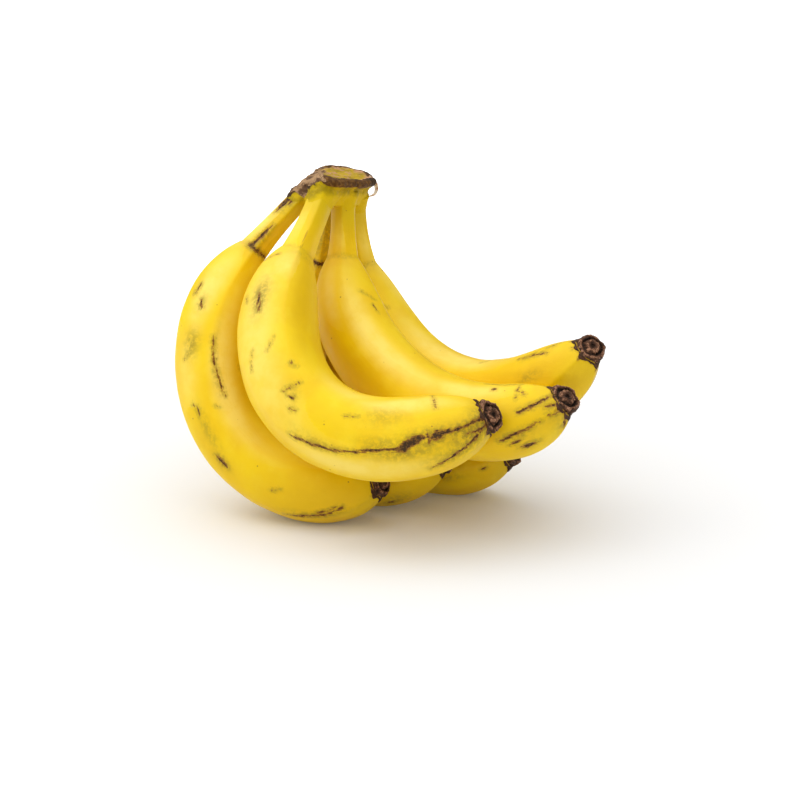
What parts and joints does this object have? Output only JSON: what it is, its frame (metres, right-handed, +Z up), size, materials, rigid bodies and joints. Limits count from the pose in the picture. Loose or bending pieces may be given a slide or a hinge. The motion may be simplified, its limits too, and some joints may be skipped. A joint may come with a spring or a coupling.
{
  "type": "hand of bananas",
  "caption": "Hand of ripe bananas joined at a cut crown, curved five-ridged fruits in two staggered rows, each with a stalk and a dried blossom end, lying on the bellies of the lower row.",
  "frame": {"origin": "on the surface the hand lies on, under the middle of its box", "axes": "+X from the stalks to the tips, +Y across the hand, from its front to its back, +Z up"},
  "size_m": [0.2094, 0.1648, 0.1727],
  "materials": {
    "peel": "ripe yellow banana peel, satin, with brown ridge marks",
    "crown": "olive-yellow woody crown with a dry brown rim and a pale fibrous cut face",
    "dried_blossom": "rough dried dark brown flower remains"
  },
  "bodies": {
    "root": {"crown": "crown", "finger_1": "peel", "finger_2": "peel", "finger_3": "peel", "finger_4": "peel", "finger_5": "peel", "finger_6": "peel", "blossom_end_1": "dried_blossom", "blossom_end_2": "dried_blossom", "blossom_end_3": "dried_blossom", "blossom_end_4": "dried_blossom", "blossom_end_5": "dried_blossom", "blossom_end_6": "dried_blossom"}
  },
  "joints": []
}
